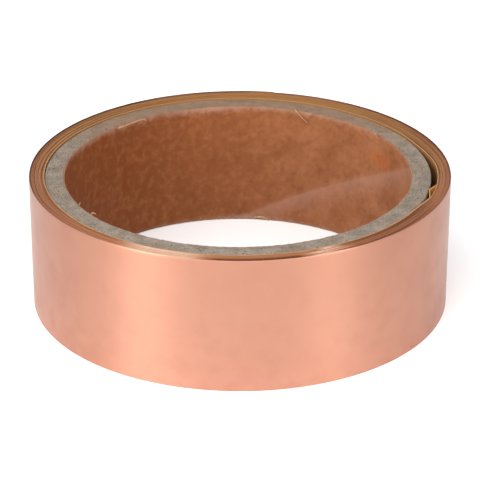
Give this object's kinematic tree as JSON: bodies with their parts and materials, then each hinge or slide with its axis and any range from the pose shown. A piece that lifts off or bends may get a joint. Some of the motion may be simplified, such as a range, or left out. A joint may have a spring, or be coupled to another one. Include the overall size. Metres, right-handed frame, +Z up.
{
  "type": "copper foil tape roll",
  "caption": "Roll of adhesive-backed copper foil tape wound on a spiral paper tube, with a folded inner start and a loose outer tail that lifts and peels.",
  "frame": {"origin": "on the bore's axis, at the roll's bottom face", "axes": "+Z up along the bore; the folded start of the winding is at the +X side and the loose tail at the +Y side"},
  "size_m": [0.0925, 0.0926, 0.03],
  "materials": {
    "kraft_paper": "matte",
    "chipboard": "matte",
    "liner_paper": "satin",
    "acrylic_adhesive": "gloss",
    "copper": "satin"
  },
  "bodies": {
    "roll": {"bore_kraft_ply": "kraft_paper", "core_board_ply_1": "chipboard", "core_board_ply_2": "chipboard", "core_board_ply_3": "chipboard", "core_board_ply_4": "chipboard", "core_board_ply_5": "chipboard", "core_board_ply_6": "chipboard", "core_board_ply_7": "chipboard", "release_liner": "liner_paper", "adhesive_film": "acrylic_adhesive", "copper_foil": "copper"},
    "tail": {"tail_foil": "copper", "tail_adhesive": "acrylic_adhesive"},
    "liner_flap": {"tail_liner": "liner_paper"}
  },
  "joints": [
    {"name": "tail_lift", "type": "hinge", "parent": "roll", "child": "tail", "pos_m": [-0.01528, 0.04366, 0.015], "axis": [0, 0, 1], "range_deg": [0, 75]},
    {"name": "liner_peel", "type": "hinge", "parent": "roll", "child": "liner_flap", "pos_m": [-0.01524, 0.04353, 0.015], "axis": [0, 0, 1], "range_deg": [0, 37.5]}
  ],
  "couplings": [
    {"joint": "liner_peel", "follows": "tail_lift", "ratio": 0.5}
  ]
}
